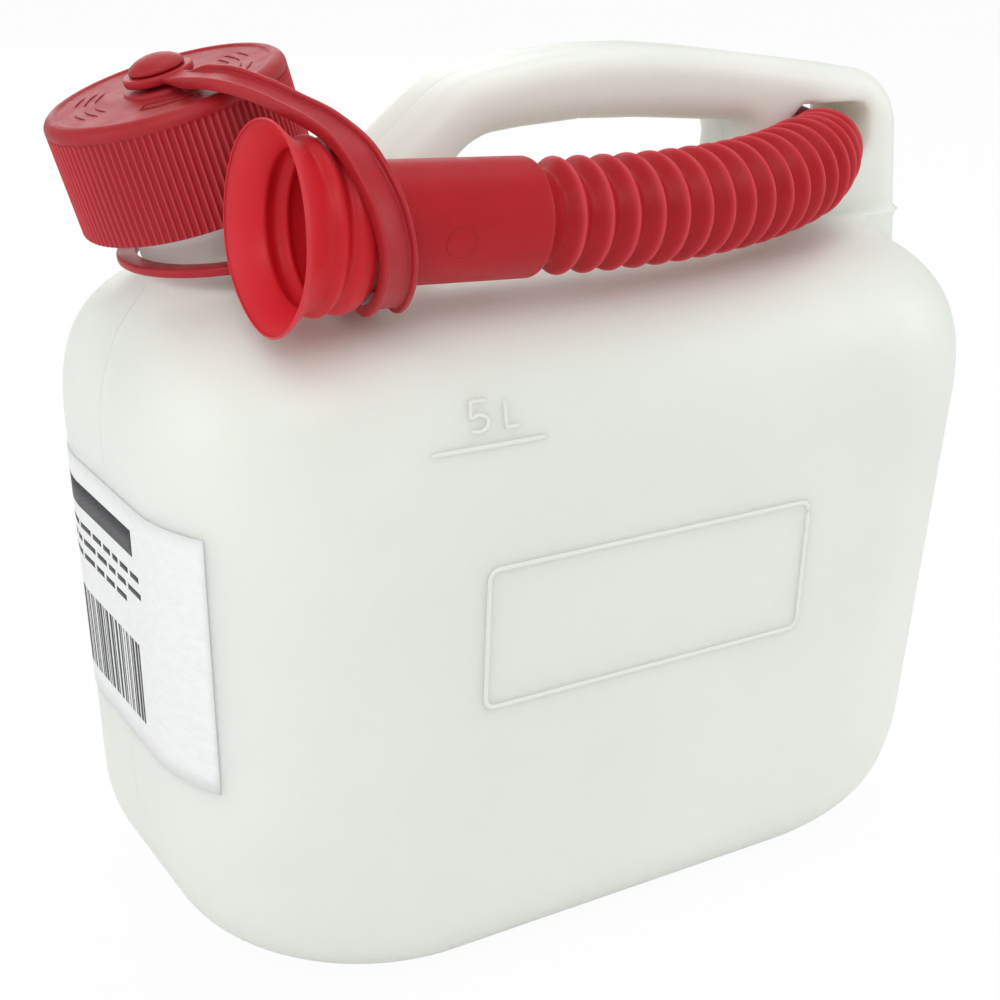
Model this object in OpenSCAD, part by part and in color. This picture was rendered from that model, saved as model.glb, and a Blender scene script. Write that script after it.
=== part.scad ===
// Five litre fuel can: blow-moulded canister with a carrying handle, a tilted neck with a screw
// cap on a retaining strap, and a flexible spout stored through the rear post of the handle.
// Millimetres. +X runs from the neck to the rear post, +Y to the back, +Z up, origin under the
// middle of the base.

/* [Canister body] */
// Length of the body over its shoulders
body_l = 265; // [245:1:320]
// Width of the body over its shoulders
body_w = 145; // [138:1:180]
// Height of the flat top of the body
body_h = 194; // [175:1:240]
// Wall thickness of the canister
wall = 1.6; // [1.2:0.1:2.4]
// Radius of the body's corners seen from above
corner_r = 49; // [35:1:55]
// Length of the rounding under each end
base_round_x = 39; // [15:1:45]
// Length of the rounding under the front and the back
base_round_y = 23; // [8:1:28]
// How far the shoulder reaches in from the sides
shoulder_in = 42; // [30:1:46]
// Height of the shoulder
shoulder_h = 45; // [30:1:55]
// Draft of the left end, per millimetre of height
draft_left = 0.037; // [0:0.001:0.05]
// Draft of the right end, per millimetre of height
draft_right = 0.05; // [0:0.001:0.06]
// Draft of the front and the back, per millimetre of height
draft_side = 0.028; // [0:0.001:0.04]

/* [Handle] */
// Height of the handle's highest point over the body's top
handle_rise = 54.5; // [46:0.5:90]
// Width of the handle from front to back
handle_w = 30; // [26:1:36]
// Height of the grip's section
grip_t = 20.7; // [18:0.1:24]
// Rounding of the handle's long edges
handle_round = 7; // [4:0.5:10]
// Distance of the finger opening from the front leg's foot
leg_t = 36.7; // [34:0.1:44]
// Width of the rear post, with the spout's hole in it
post_t = 64.4; // [62:0.1:72]
// How far the rear post's end face leans in towards its top
post_slope = 5.1; // [2:0.1:7]
// Distance of the rear post's foot from the body's right end
post_in = 0.2; // [0.1:0.1:6]
// Distance of the front leg's foot from the body's left end
leg_in = 58; // [56:1:66]

/* [Hole for the spout's nozzle] */
// Length of the hole
hole_l = 34.4; // [32:0.1:37]
// Distance of the hole's right end from the top of the rear post's end face
hole_in = 12.4; // [11:0.1:15]
// Rounding of the hole's edges
hole_round = 1.8; // [1:0.1:3]
// Free room over the nozzle in the hole
hole_room = 2.2; // [1:0.1:4]
// Clearance between the nozzle and the hole it lies in
nozzle_gap = 0.4; // [0.3:0.1:1]

/* [Neck] */
// Tilt of the neck away from the handle, in degrees
neck_tilt = 17.5; // [10:0.5:20]
// Outer radius of the neck
neck_r = 24; // [22:0.5:25]
// Wall thickness of the neck
neck_wall = 2.2; // [1.6:0.1:3]
// Outer radius of the neck's groove under the cap, where the strap's ring lies
groove_r = 19.5; // [18.5:0.5:20]
// Distance of the cap's lower edge from the body's left end
neck_in = 30.5; // [29:0.5:36]
// Height of the cap's lower edge over the body's top
neck_rise = 19; // [17:0.5:24]
// Height of the neck's thread ridge
thread_h = 2.2; // [1.6:0.1:2.6]
// Pitch of the thread
thread_pitch = 6; // [5:0.5:8]
// Turns of the thread
thread_turns = 1.5; // [1:0.25:2]
// Clearance between the neck's thread and the cap
thread_gap = 0.5; // [0.4:0.1:0.8]

/* [Screw cap] */
// Wall thickness of the skirt
cap_wall = 4; // [3:0.1:5]
// Height of the ribbed skirt
skirt_h = 27.5; // [24:0.5:34]
// Height of the cap's rounded shoulder over the skirt
cap_rim = 3; // [2:0.5:4]
// Thickness of the cap's top
cap_top_t = 2.6; // [2:0.1:3]
// Number of grip ribs
rib_count = 105; // [60:1:120]
// Depth of the grooves between the ribs
rib_depth = 0.6; // [0.3:0.1:1]
// Radius of the button that holds the strap's eye
button_r = 7.2; // [6:0.1:8]
// Height of the button over the cap's top
button_h = 7.5; // [6.5:0.1:9]
// Thickness of the sealing disc
seal_t = 1.6; // [1:0.1:2.4]

/* [Retaining strap] */
// Width of the strap
strap_w = 9.5; // [7:0.5:10.5]
// Thickness of the strap's web
strap_t = 1.5; // [1.2:0.1:1.8]
// Height of the flanges along the strap, with the web
flange_h = 3; // [2:0.1:3.4]
// Width of each flange
flange_t = 1.3; // [1:0.1:1.8]
// Inner radius of the ring around the neck
ring_r = 24.6; // [24.4:0.1:26]
// Width of the ring around the neck
ring_w = 5.2; // [4:0.1:5.5]
// Thickness of the ring around the neck
ring_t = 2.4; // [1.6:0.1:3]
// Outer radius of the eye around the button
eye_r = 9; // [8.5:0.1:10]
// Thickness of the eye
eye_t = 2.2; // [1.8:0.1:2.6]

/* [Flexible spout] */
// Outer radius of the flared mouth
mouth_r = 25.3; // [23:0.1:25.5]
// Outer radius of the smooth tube
tube_r = 15; // [13:0.1:15.5]
// Length of the mouth, the socket and the smooth tube
tube_l = 69.6; // [66:0.1:74]
// Outer radius of the hose's folds
fold_r = 14.8; // [13.5:0.1:15.2]
// Depth of the hose's folds
fold_depth = 2.6; // [1.5:0.1:3]
// Number of folds
fold_count = 17; // [12:1:18]
// Outer radius of the nozzle
nozzle_r = 8; // [7:0.1:8.4]
// Length of the nozzle
nozzle_l = 46; // [40:0.5:60]
// Wall thickness of the spout
spout_wall = 1.3; // [1:0.1:1.6]

/* [Label] */
// Height of the label
label_h = 72.5; // [40:0.5:76]
// Length of the label around the body's corner
label_l = 105; // [70:1:130]
// Distance of the label's upper edge from the start of the shoulder
label_drop = 9.5; // [4:0.5:16]
// Thickness of the label
label_t = 0.3; // [0.2:0.05:0.5]

/* [Embossing] */
// Height of the raised marks over the surface
mark_h = 0.6; // [0.3:0.1:1]
// Height of the level mark over the floor
level_z = 165; // [150:1:170]
// Height of the raised panel's middle over the floor
panel_z = 106; // [90:1:115]
// Length of the raised panel
panel_l = 107; // [60:1:130]
// Height of the raised panel
panel_h = 40; // [20:1:60]

/* [Hidden] */

milky = [0.87, 0.89, 0.86];
red = [0.72, 0.07, 0.11];
paper_white = [0.96, 0.96, 0.95];

// Sides of a round shape, and degrees between the points of an outline's fillet
ROUND = 96;
FILLET_STEP = 12;
STRAIGHT_Z = body_h - shoulder_h;
SHOULDER_POWER = 2.7;
left_end = -body_l / 2;
right_end = body_l / 2;

// The neck's own axis starts at the middle of the cap's lower edge
neck_x = left_end + neck_in;
neck_z = body_h + neck_rise;
NECK_AXIS = [-sin(neck_tilt), 0, cos(neck_tilt)];
neck_top = skirt_h + cap_rim - cap_top_t - seal_t - 0.3;
thread_r = neck_r + thread_h;
cap_bore_r = thread_r + thread_gap;
cap_r = cap_bore_r + cap_wall + rib_depth;
THREAD_START = 7;

// The handle's outline
handle_h = body_h + handle_rise;
post_x = right_end - post_in;
post_top_x = post_x - post_slope;
leg_x = left_end + leg_in;
opening_x0 = leg_x + leg_t;
opening_x1 = post_x - post_t;
opening_top = handle_h - grip_t;
foot_z = body_h - 38;
hole_x1 = post_top_x - hole_in;
hole_x0 = hole_x1 - hole_l;
hole_z1 = handle_h - 19.8;
hole_z0 = hole_z1 - hole_room - 2 * nozzle_r - 2 * nozzle_gap;

// The spout's route: straight from the mouth to the first fold, one curve along the folded
// hose, and straight again through the hole in the rear post
NOZZLE_HEADING = 68;
NOZZLE_REACH = 22.5;
nozzle_mid = [(hole_x0 + hole_x1) / 2, 0, hole_z0 + nozzle_gap + nozzle_r];
nozzle_dir = [cos(NOZZLE_HEADING), sin(NOZZLE_HEADING), 0];
nozzle_root = nozzle_mid - NOZZLE_REACH * nozzle_dir;
mouth_at = [neck_x - 8, -cap_r - mouth_r - 0.4, neck_z + 3];
FIRST_VALLEY = 7.8;
straight_l = tube_l + FIRST_VALLEY;
tube_dir = unit([straight_l, -1.9, -3.1]);
bend_start = mouth_at + straight_l * tube_dir;
HOSE_LEAD = 0.68 * norm(nozzle_root - bend_start);
hose_bend = [bend_start, bend_start + HOSE_LEAD * tube_dir, nozzle_root - 4.5 * nozzle_dir, nozzle_root];

// The strap's eye and ring, in the neck's own axis
eye_z = skirt_h + cap_rim + 2.6;
ring_at = [neck_x + ring_r - groove_r + 2.7, 0, neck_z - 11.5];
RING_TILT = 8;

function unit(v) = v / norm(v);
function mix(a, b, t) = a + (b - a) * t;
function bezier(p, t) =
    pow(1 - t, 3) * p[0] + 3 * pow(1 - t, 2) * t * p[1] + 3 * (1 - t) * t * t * p[2] + pow(t, 3) * p[3];
function sums(v, i = 0, total = 0) =
    i >= len(v) ? [] : concat([total + v[i]], sums(v, i + 1, total + v[i]));
function flat(lists) = [for (l = lists) for (p = l) p];

// A smooth curve through the points, with a number of steps between each two of them
function spline(p, steps) = concat(
    [for (i = [0 : len(p) - 2], k = [0 : steps - 1])
        let (t = k / steps, a = p[max(i - 1, 0)], b = p[i], c = p[i + 1], d = p[min(i + 2, len(p) - 1)])
        0.5 * (2 * b + (c - a) * t + (2 * a - 5 * b + 4 * c - d) * t * t
            + (3 * b - a - 3 * c + d) * t * t * t)],
    [p[len(p) - 1]]);

// An outline from corners [x, y, radius]: each corner becomes an arc between its two sides
function arc_corner(a, b, c) =
    let (
        u = unit([a[0] - b[0], a[1] - b[1]]),
        v = unit([c[0] - b[0], c[1] - b[1]]),
        half = acos(u * v) / 2,
        middle = [b[0], b[1]] + unit(u + v) * b[2] / sin(half),
        from = -u * b[2] / tan(half),
        start = [b[0], b[1]] - from - middle,
        turn = 180 - 2 * half,
        side = sign(u[0] * v[1] - u[1] * v[0]),
        steps = max(2, ceil(turn / FILLET_STEP))
    )
    [for (i = [0 : steps])
        let (angle = -side * turn * i / steps)
        middle + [start[0] * cos(angle) - start[1] * sin(angle),
            start[0] * sin(angle) + start[1] * cos(angle)]];
function outline(corners) =
    let (n = len(corners))
    [for (i = [0 : n - 1]) each arc_corner(corners[(i + n - 1) % n], corners[i], corners[(i + 1) % n])];

// The same outline moved outward by d, point by point
function grown(points, d) =
    let (n = len(points))
    [for (i = [0 : n - 1])
        let (
            before = unit(points[i] - points[(i + n - 1) % n]),
            after = unit(points[(i + 1) % n] - points[i]),
            along = unit(before + after)
        )
        points[i] + d * [along[1], -along[0]]];

// How far the body's side draws in at a height: the rounding of the base and of the shoulder
function drawn_in(z, base_round) =
    base_round - sqrt(max(0, base_round * base_round - pow(base_round - min(z, base_round), 2)))
    + shoulder_in * (1 - pow(1 - pow(max(0, z - STRAIGHT_Z) / shoulder_h, SHOULDER_POWER), 1 / SHOULDER_POWER));
function draft_at(z, slope) = slope * (STRAIGHT_Z - min(z, STRAIGHT_Z));
function body_left(z) = left_end + draft_at(z, draft_left) + drawn_in(z, base_round_x);
function body_right(z) = right_end - draft_at(z, draft_right) - drawn_in(z, base_round_x);
function body_side(z) = body_w / 2 - draft_at(z, draft_side) - drawn_in(z, base_round_y);
function body_corner(z) = min(corner_r, body_side(z) - 2);

// One level of the body seen from above, drawn in by an offset
function body_ring(z, inset, steps) =
    let (x0 = body_left(z), x1 = body_right(z), y = body_side(z), r = body_corner(z))
    [for (corner = [[x1 - r, y - r, 0], [x0 + r, y - r, 90], [x0 + r, r - y, 180], [x1 - r, r - y, 270]])
        for (i = [0 : steps])
            let (angle = corner[2] + 90 * i / steps)
            [corner[0] + (r - inset) * cos(angle), corner[1] + (r - inset) * sin(angle)]];

// The levels crowd towards the floor and the top, where the body is rounded
BASE_STEPS = 6;
SHOULDER_STEPS = 9;
body_levels = concat(
    [for (i = [0 : BASE_STEPS]) base_round_x * (1 - cos(90 * i / BASE_STEPS))],
    [for (i = [0 : SHOULDER_STEPS]) STRAIGHT_Z + shoulder_h * pow(sin(90 * i / SHOULDER_STEPS), 0.9)]);

// A closed solid from rings of as many points each, with a flat face at both ends
module loft(rings) {
    n = len(rings[0]);
    m = len(rings);
    polyhedron(
        points = flat(rings),
        faces = concat(
            [[for (i = [0 : n - 1]) i]],
            [for (k = [0 : m - 2], i = [0 : n - 1])
                [k * n + i, (k + 1) * n + i, (k + 1) * n + (i + 1) % n, k * n + (i + 1) % n]],
            [[for (i = [n - 1 : -1 : 0]) (m - 1) * n + i]]),
        convexity = 8);
}

// A closed skin from rings that run out along one surface and back along another
module hollow_loft(rings) {
    n = len(rings[0]);
    m = len(rings);
    polyhedron(
        points = flat(rings),
        faces = [for (k = [0 : m - 1], i = [0 : n - 1])
            [k * n + i, ((k + 1) % m) * n + i, ((k + 1) % m) * n + (i + 1) % n, k * n + (i + 1) % n]],
        convexity = 10);
}

module body_loft(inset) {
    loft([for (z = body_levels)
        let (level = mix(inset, body_h - inset, z / body_h))
        [for (p = body_ring(z, inset, 8)) [p[0], p[1], level]]]);
}

// A slab across Y with an outline in X and Z and rounded edges: outward for a cutter
module rounded_slab(points, half_w, edge, side) {
    steps = 4;
    turns = [for (i = [0 : steps]) 90 * i / steps];
    halves = concat(
        [for (a = turns) [half_w - edge * (1 - cos(a)), side * edge * (1 - sin(a))]],
        [for (i = [steps : -1 : 0])
            [-(half_w - edge * (1 - cos(turns[i]))), side * edge * (1 - sin(turns[i]))]]);
    loft([for (h = halves) [for (p = grown(points, h[1])) [p[0], h[0], p[1]]]]);
}

handle_outline = outline([
    [leg_x - 3, foot_z, 12],
    [post_x, foot_z, 12],
    [post_x, body_h - 6, 60],
    [post_top_x - 0.3, handle_h - 12.3, 21],
    [14.4, handle_h + 2, 230],
    [leg_x + 42.4, handle_h - 7.8, 34],
    [leg_x + 18.1, handle_h - 28.3, 16]]);
opening_outline = outline([
    [opening_x0, body_h + 1.5, 9],
    [opening_x1 - 2, body_h + 1.5, 7],
    [opening_x1 + 0.3, opening_top - 3.4, 6.5],
    [8, opening_top + 1.2, 220],
    [opening_x0 + 0.5, opening_top - 3.5, 20]]);
hole_outline = outline([
    [hole_x0, hole_z0, 5],
    [hole_x1, hole_z0, 8],
    [hole_x1, hole_z1, 6],
    [hole_x0 + 6.5, hole_z1, 4],
    [hole_x0, hole_z1 - 6.5, 4]]);

// Cuts right through the handle, wider towards both faces by the rounding of its edge
module through_cut(points, edge, inset) {
    half_w = handle_w / 2 - inset;
    steps = 4;
    arc = [for (i = [0 : steps])
        [half_w - edge * (1 - sin(90 * i / steps)), edge * (1 - cos(90 * i / steps))]];
    profile = concat(
        [[half_w + 10, edge]],
        [for (i = [steps : -1 : 0]) arc[i]],
        [for (i = [0 : steps]) [-arc[i][0], arc[i][1]]],
        [[-half_w - 10, edge]]);
    loft([for (h = profile) [for (p = grown(points, h[1] + inset)) [p[0], h[0], p[1]]]]);
}

module handle_solid(inset) {
    difference() {
        rounded_slab(grown(handle_outline, -inset), handle_w / 2 - inset, handle_round - inset, -1);
        through_cut(opening_outline, 7, inset);
        through_cut(hole_outline, hole_round, inset);
    }
}

module on_neck() {
    translate([neck_x, 0, neck_z]) rotate([0, -neck_tilt, 0]) children();
}

// A bead of the thread's ridge at an angle, out from the neck
module thread_bead(angle, root_r, crest_r) {
    rotate([0, 0, angle]) translate([0, 0, THREAD_START + thread_pitch * angle / 360])
        rotate([90, 0, 0]) linear_extrude(0.02)
            polygon([[root_r, -1.7], [crest_r, -0.7], [crest_r, 0.7], [root_r, 1.7]]);
}

module neck_thread() {
    step = 15;
    for (angle = [0 : step : 360 * thread_turns - step])
        hull() {
            thread_bead(angle, neck_r - 0.5, thread_r);
            thread_bead(angle + step, neck_r - 0.5, thread_r);
        }
}

module neck_solid() {
    on_neck() {
        rotate_extrude($fn = ROUND / 2)
            polygon([[0, -26], [neck_r + 7, -26], [neck_r + 1.5, -20.5], [groove_r + 1.5, -16],
                [groove_r, -12], [groove_r, -5.5], [neck_r, -1], [neck_r, neck_top - 0.8],
                [neck_r - 0.8, neck_top], [0, neck_top]]);
        neck_thread();
    }
}

// The way out through the neck
module neck_bore() {
    narrow = groove_r - neck_wall;
    wide = neck_r - neck_wall;
    on_neck() rotate_extrude($fn = ROUND / 2)
        polygon([[0, -38], [narrow, -38], [narrow, -5.5], [wide, -1],
            [wide, neck_top + 5], [0, neck_top + 5]]);
}

// A point of the front face, and raised strokes that follow it
function front_point(x, z) = [x, -body_side(z), z];
module stroke(points, width) {
    for (i = [0 : len(points) - 2])
        hull()
            for (p = [points[i], points[i + 1]])
                translate(front_point(p[0], p[1])) rotate([90, 0, 0])
                    cylinder(h = 2 * mark_h, d = width, center = true, $fn = 8);
}

// Plain level mark: a line, a five and a litre sign
module level_mark() {
    x = left_end + 58;
    stroke([[x, level_z - 5], [x + 34, level_z - 5]], 1.2);
    stroke([[x + 17, level_z + 6.5], [x + 12.5, level_z + 6.5], [x + 12.1, level_z + 2.6],
        [x + 15.4, level_z + 2.9], [x + 17, level_z + 1.1], [x + 15.4, level_z - 1],
        [x + 12, level_z - 0.6]], 1.1);
    stroke([[x + 22, level_z + 6.5], [x + 22, level_z - 0.9], [x + 26.5, level_z - 0.9]], 1.1);
}

// Plain raised panel on the flat of the front
module front_panel() {
    z0 = panel_z - panel_h / 2;
    depth = body_side(z0);
    lean = atan(draft_side);
    translate([-3 - panel_l / 2, -depth, z0]) rotate([90 + lean, 0, 0])
        translate([0, 0, -mark_h]) linear_extrude(2 * mark_h)
            difference() {
                offset(r = 3, $fn = 24) offset(delta = -3) square([panel_l, panel_h]);
                offset(r = 2, $fn = 24) offset(delta = -3.6) square([panel_l, panel_h]);
            }
}

module canister() {
    color(milky)
    difference() {
        union() {
            body_loft(0);
            handle_solid(0);
            neck_solid();
            level_mark();
            front_panel();
        }
        body_loft(wall);
        handle_solid(wall);
        neck_bore();
    }
}

// Grip ribs around the skirt: a crest, and a wider groove
module skirt_outline() {
    pitch = 360 / rib_count;
    crest = 0.34;
    polygon([for (i = [0 : rib_count - 1], c = [[0, 0], [crest, 0], [crest + 0.1, 1], [0.9, 1]])
        let (angle = (i + c[0]) * pitch, r = cap_r - c[1] * rib_depth)
        [r * cos(angle), r * sin(angle)]]);
}

module cap_thread() {
    steps = 24;
    turns = thread_turns - 0.25;
    loft([for (i = [0 : steps * turns])
        let (angle = 360 * i / steps + 90, z = THREAD_START + thread_pitch * (angle / 360 - 0.5))
        [for (p = [[cap_bore_r + 0.4, -1.4], [neck_r + 0.7, -0.5], [neck_r + 0.7, 0.5],
            [cap_bore_r + 0.4, 1.4]])
            [p[0] * cos(angle), p[0] * sin(angle), z + p[1]]]]);
}

module cap() {
    top = skirt_h + cap_rim;
    eye_bore = button_r - 2.6;
    color(red) on_neck() {
        difference() {
            union() {
                linear_extrude(skirt_h) skirt_outline();
                rotate_extrude($fn = ROUND)
                    polygon([[0, skirt_h - 1], [cap_r - 0.1, skirt_h - 1], [cap_r - 0.1, skirt_h + 0.6],
                        [cap_r - 0.6, skirt_h + 1.8], [cap_r - 1.6, top - 0.3], [cap_r - 3, top],
                        [cap_r - 3.6, top - 0.5], [0, top - 0.5]]);
            }
            translate([0, 0, -1]) cylinder(h = top - cap_top_t + 1, r = cap_bore_r, $fn = ROUND);
        }
        cap_thread();
        rotate_extrude($fn = ROUND)
            polygon([[0, top - 1], [eye_r + 0.8, top - 1], [eye_r + 0.8, top + 0.4],
                [eye_r + 0.3, top + 0.9], [eye_bore, top + 0.9], [eye_bore, top + 4],
                [button_r - 0.4, top + 4], [button_r, top + 4.6], [button_r - 0.6, top + 5.8],
                [button_r - 2.2, top + 6.9], [button_r - 4.2, top + button_h - 0.1], [0, top + button_h]]);
    }
}

module cap_seal() {
    under = skirt_h + cap_rim - cap_top_t;
    color("whitesmoke") on_neck()
        translate([0, 0, under - seal_t]) difference() {
            cylinder(h = seal_t, r = cap_bore_r - 0.6, $fn = ROUND);
            translate([0, 0, -1]) cylinder(h = seal_t + 2, r = neck_r - neck_wall - 5, $fn = ROUND);
        }
}

// The strap's route from the eye to the ring: the web's middle, its outer side and its width.
// The first stations lie on the cap's top, the middle ones pass over and around the spout's
// socket, and the last ones come back under it to the ring.
function on_cap(out, along) =
    [neck_x, 0, neck_z] + NECK_AXIS * eye_z + [along * cos(neck_tilt), -out, along * sin(neck_tilt)];
function by_socket(x, out, angle) =
    let (axis = mouth_at + tube_dir * (x / tube_dir[0]))
    axis + out * [0, -cos(angle), sin(angle)];
strap_route = [
    [on_cap(eye_r - 1.6, 0.6), NECK_AXIS, 6.2],
    [on_cap(13, 1), NECK_AXIS, 6.8],
    [on_cap(20, 2.4), NECK_AXIS, strap_w],
    [on_cap(31, 4.6), [-0.25, -0.05, 0.96], strap_w],
    [by_socket(7, 33.4, 121), [-0.1, -0.15, 0.98], strap_w],
    [by_socket(10.7, 28, 109), [0.05, -0.35, 0.93], strap_w],
    [by_socket(14.7, 23.6, 88), [0.1, -0.55, 0.83], strap_w],
    [by_socket(17, 22.6, 57), [0.15, -0.8, 0.58], strap_w],
    [by_socket(19.7, 22, 27), [0.2, -0.93, 0.3], strap_w],
    [by_socket(21.8, 21.6, 4), [0.25, -0.97, 0], strap_w],
    [by_socket(23.4, 20.8, -16), [0.22, -0.9, -0.35], strap_w],
    [by_socket(25, 19.8, -42), [0.1, -0.66, -0.75], strap_w],
    [by_socket(27.8, 19.3, -80), [0, -0.2, -0.98], strap_w],
    [by_socket(29.6, 19, -116), [0, 0.12, -0.98], strap_w],
    [ring_at + [ring_r - 8.2, -ring_r - 9.4, 0.6], [0, 0.3, -0.95], strap_w],
    [ring_at + [ring_r - 11.6, -ring_r - 1.1, 1.2], [0.14, 0.1, -0.98], strap_w - 2.6]];
STRAP_STEPS = 3;

module strap_band() {
    middles = spline([for (s = strap_route) s[0]], STRAP_STEPS);
    outs = spline([for (s = strap_route) s[1]], STRAP_STEPS);
    widths = spline([for (s = strap_route) s[2]], STRAP_STEPS);
    last = len(middles) - 1;
    rings = [for (i = [0 : last])
        let (
            along = unit(middles[min(i + 1, last)] - middles[max(i - 1, 0)]),
            across = unit(cross(outs[i], along)),
            out = cross(along, across),
            half = widths[i] / 2,
            rise = flange_h - strap_t / 2,
            low = -strap_t / 2,
            high = strap_t / 2,
            inner = half - flange_t
        )
        [for (q = [[-half, low], [half, low], [half, rise], [inner, rise], [inner, high],
            [-inner, high], [-inner, rise], [-half, rise]])
            middles[i] + across * q[0] + out * q[1]]];
    loft(rings);
}

module retaining_strap() {
    color(red) {
        strap_band();
        on_neck() translate([0, 0, eye_z - eye_t / 2]) difference() {
            cylinder(h = eye_t, r = eye_r, $fn = ROUND / 2);
            translate([0, 0, -1]) cylinder(h = eye_t + 2, r = button_r - 2.6 + 0.4, $fn = ROUND / 2);
        }
        translate(ring_at) rotate([0, -RING_TILT, 0]) translate([0, 0, -ring_t / 2])
            difference() {
                cylinder(h = ring_t, r = ring_r + ring_w, $fn = ROUND);
                translate([0, 0, -1]) cylinder(h = ring_t + 2, r = ring_r, $fn = ROUND);
            }
    }
}

// The spout's outline along its length: distance from the mouth and outer radius
SPOUT_SIDES = 20;
mouth_profile = [[0, mouth_r], [0.9, mouth_r - 0.2], [3.5, mouth_r - 2.6], [8, 19.8], [9.6, 20.6],
    [11, 21], [12.4, 20.6], [14, 19.5], [15.4, 20.3], [17, 20.6], [19.2, 20.2], [21, 18.6],
    [24, 16.2], [26.6, tube_r + 0.4], [27.2, tube_r + 1], [28.9, tube_r + 0.9], [29.7, tube_r],
    [tube_l - 0.9, tube_r], [tube_l - 0.1, tube_r - 0.5], [tube_l + 1.2, fold_r - fold_depth]];

// Points along the curve of the hose, with their distance from its start
HOSE_POINTS = 48;
hose_curve = [for (i = [0 : HOSE_POINTS]) bezier(hose_bend, i / HOSE_POINTS)];
hose_steps = [for (i = [0 : HOSE_POINTS]) i == 0 ? 0 : norm(hose_curve[i] - hose_curve[i - 1])];
hose_at = sums(hose_steps);
hose_l = hose_at[HOSE_POINTS];
function hose_axis(axis) = [for (i = [0 : HOSE_POINTS]) [hose_at[i], hose_curve[i][axis]]];
hose_x = hose_axis(0);
hose_y = hose_axis(1);
hose_z = hose_axis(2);
function spout_point(s) =
    s <= straight_l ? mouth_at + s * tube_dir
    : s >= straight_l + hose_l ? nozzle_root + (s - straight_l - hose_l) * nozzle_dir
    : let (t = s - straight_l) [lookup(t, hose_x), lookup(t, hose_y), lookup(t, hose_z)];
function spout_ring(s, r) =
    let (
        along = unit(spout_point(s + 3) - spout_point(s - 3)),
        side = unit(cross([0, 0, 1], along)),
        up = cross(along, side),
        middle = spout_point(s)
    )
    [for (i = [0 : SPOUT_SIDES - 1])
        let (angle = 360 * i / SPOUT_SIDES)
        middle + r * (cos(angle) * side + sin(angle) * up)];

fold_pitch = hose_l / fold_count;
// The last folds are smaller, where the hose narrows beside the post
function crest_r(k) = fold_r - 0.8 * max(0, k - fold_count + 4);
fold_profile = [for (k = [0 : fold_count - 1], f = [[-0.36, 1], [-0.12, 0], [0.12, 0], [0.36, 1]])
    [straight_l + 0.7 + (k + f[0]) * fold_pitch, crest_r(k) - f[1] * fold_depth]];
fold_inner = [for (k = [0 : fold_count - 1], f = [[-0.5, 1], [0, 0]])
    [straight_l + 0.7 + (k + f[0]) * fold_pitch, crest_r(k) - spout_wall - f[1] * fold_depth]];
nozzle_s = straight_l + hose_l;
nozzle_profile = [[nozzle_s + 1.5, nozzle_r + 2.6], [nozzle_s + 4, nozzle_r + 0.6], [nozzle_s + 6, nozzle_r],
    [nozzle_s + nozzle_l - 1, nozzle_r], [nozzle_s + nozzle_l, nozzle_r - 0.5]];

module flexible_spout() {
    outer = concat(mouth_profile, fold_profile, nozzle_profile);
    inner = concat(
        [for (p = mouth_profile) [p[0] + 0.1, p[1] - spout_wall]],
        fold_inner,
        [for (p = nozzle_profile) [p[0], p[1] - spout_wall]]);
    rings = concat(
        [for (p = outer) spout_ring(p[0], p[1])],
        [for (i = [len(inner) - 1 : -1 : 0]) spout_ring(inner[i][0], inner[i][1])]);
    color(red) hollow_loft(rings);
}

// The label wraps from the left end around to the front: its skin follows the body
function label_point(u, z, off) =
    let (
        x0 = body_left(z), y = body_side(z), r = body_corner(z),
        straight = corner_r * 0.48,
        angle = (u - straight) / r * 180 / PI
    )
    u < straight ? [x0 - off, (r - y) * u / straight, z]
    : [x0 + r - (r + off) * cos(angle), r - y - (r + off) * sin(angle), z];

module label() {
    // The right edge lies a little before the middle of the front left corner
    right_edge = corner_r * 0.48 + corner_r * 32 * PI / 180;
    columns = 24;
    lift = 0.05;
    top = STRAIGHT_Z - label_drop;
    rings = [for (i = [0 : columns])
        let (u = right_edge - label_l * (1 - i / columns))
        [for (q = [[top - label_h, 0], [top, 0], [top, label_t], [top - label_h, label_t]])
            let (p = label_point(abs(u), q[0], lift + q[1]))
            [p[0], u < 0 ? -p[1] : p[1], p[2]]]];
    color(paper_white) loft(rings);
}

canister();
cap();
cap_seal();
retaining_strap();
flexible_spout();
label();
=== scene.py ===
"""Five litre fuel can with a screw cap on its strap and a flexible spout stored in the handle.

Lengths are in millimetres until a mesh is made. +X runs from the neck to the rear post, +Z is up.
"""

import math

import bmesh
import bpy
import numpy as np
from mathutils import Matrix, Vector


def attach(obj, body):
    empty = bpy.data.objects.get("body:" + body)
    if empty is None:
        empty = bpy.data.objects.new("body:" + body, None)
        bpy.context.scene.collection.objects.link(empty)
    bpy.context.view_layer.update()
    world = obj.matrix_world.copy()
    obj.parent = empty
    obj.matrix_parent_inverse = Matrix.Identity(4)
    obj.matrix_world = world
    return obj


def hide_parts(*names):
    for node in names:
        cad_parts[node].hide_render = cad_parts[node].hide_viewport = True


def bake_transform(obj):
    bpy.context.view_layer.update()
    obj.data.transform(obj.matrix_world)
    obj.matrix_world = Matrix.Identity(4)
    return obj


MM = 0.001
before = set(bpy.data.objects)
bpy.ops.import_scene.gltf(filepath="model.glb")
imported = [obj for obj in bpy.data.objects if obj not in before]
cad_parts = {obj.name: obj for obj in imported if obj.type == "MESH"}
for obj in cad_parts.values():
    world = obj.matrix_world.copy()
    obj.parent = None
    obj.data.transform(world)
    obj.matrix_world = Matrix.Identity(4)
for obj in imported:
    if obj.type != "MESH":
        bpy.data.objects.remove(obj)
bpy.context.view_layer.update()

# Canister body
BODY_L, BODY_W, BODY_H = 265.0, 145.0, 194.0
LEVEL_Z, MARK_X = 165.0, 58
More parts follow.
